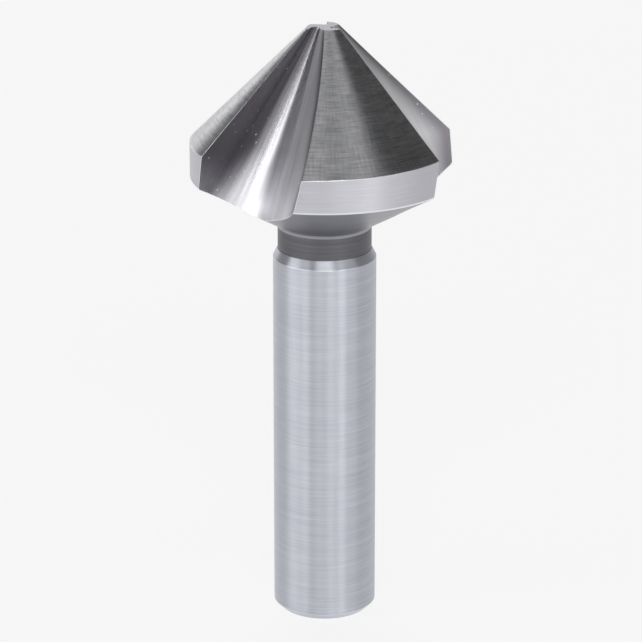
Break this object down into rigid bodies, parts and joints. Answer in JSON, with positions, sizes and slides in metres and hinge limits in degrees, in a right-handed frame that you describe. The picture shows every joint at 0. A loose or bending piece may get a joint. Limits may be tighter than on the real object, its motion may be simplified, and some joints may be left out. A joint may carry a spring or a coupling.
{
  "type": "countersink bit",
  "caption": "Fluted conical countersink with a relieved land behind each cutting edge, a short relieved neck and a plain parallel shank.",
  "frame": {"origin": "centre of the shank's end face, on the tool's axis", "axes": "+Z along the tool's axis from the shank's end face to the nose; the first cutting corner stands 86.3 degrees round from +X, counted anticlockwise seen from the nose"},
  "size_m": [0.0303, 0.031, 0.071],
  "materials": {
    "ground_tool_steel": "bright ground high-speed steel: satin cylindrical-ground shank, matt turned neck, finely ground relieved lands and smoother flutes"
  },
  "bodies": {
    "root": {"countersink_bit": "ground_tool_steel"}
  },
  "joints": []
}
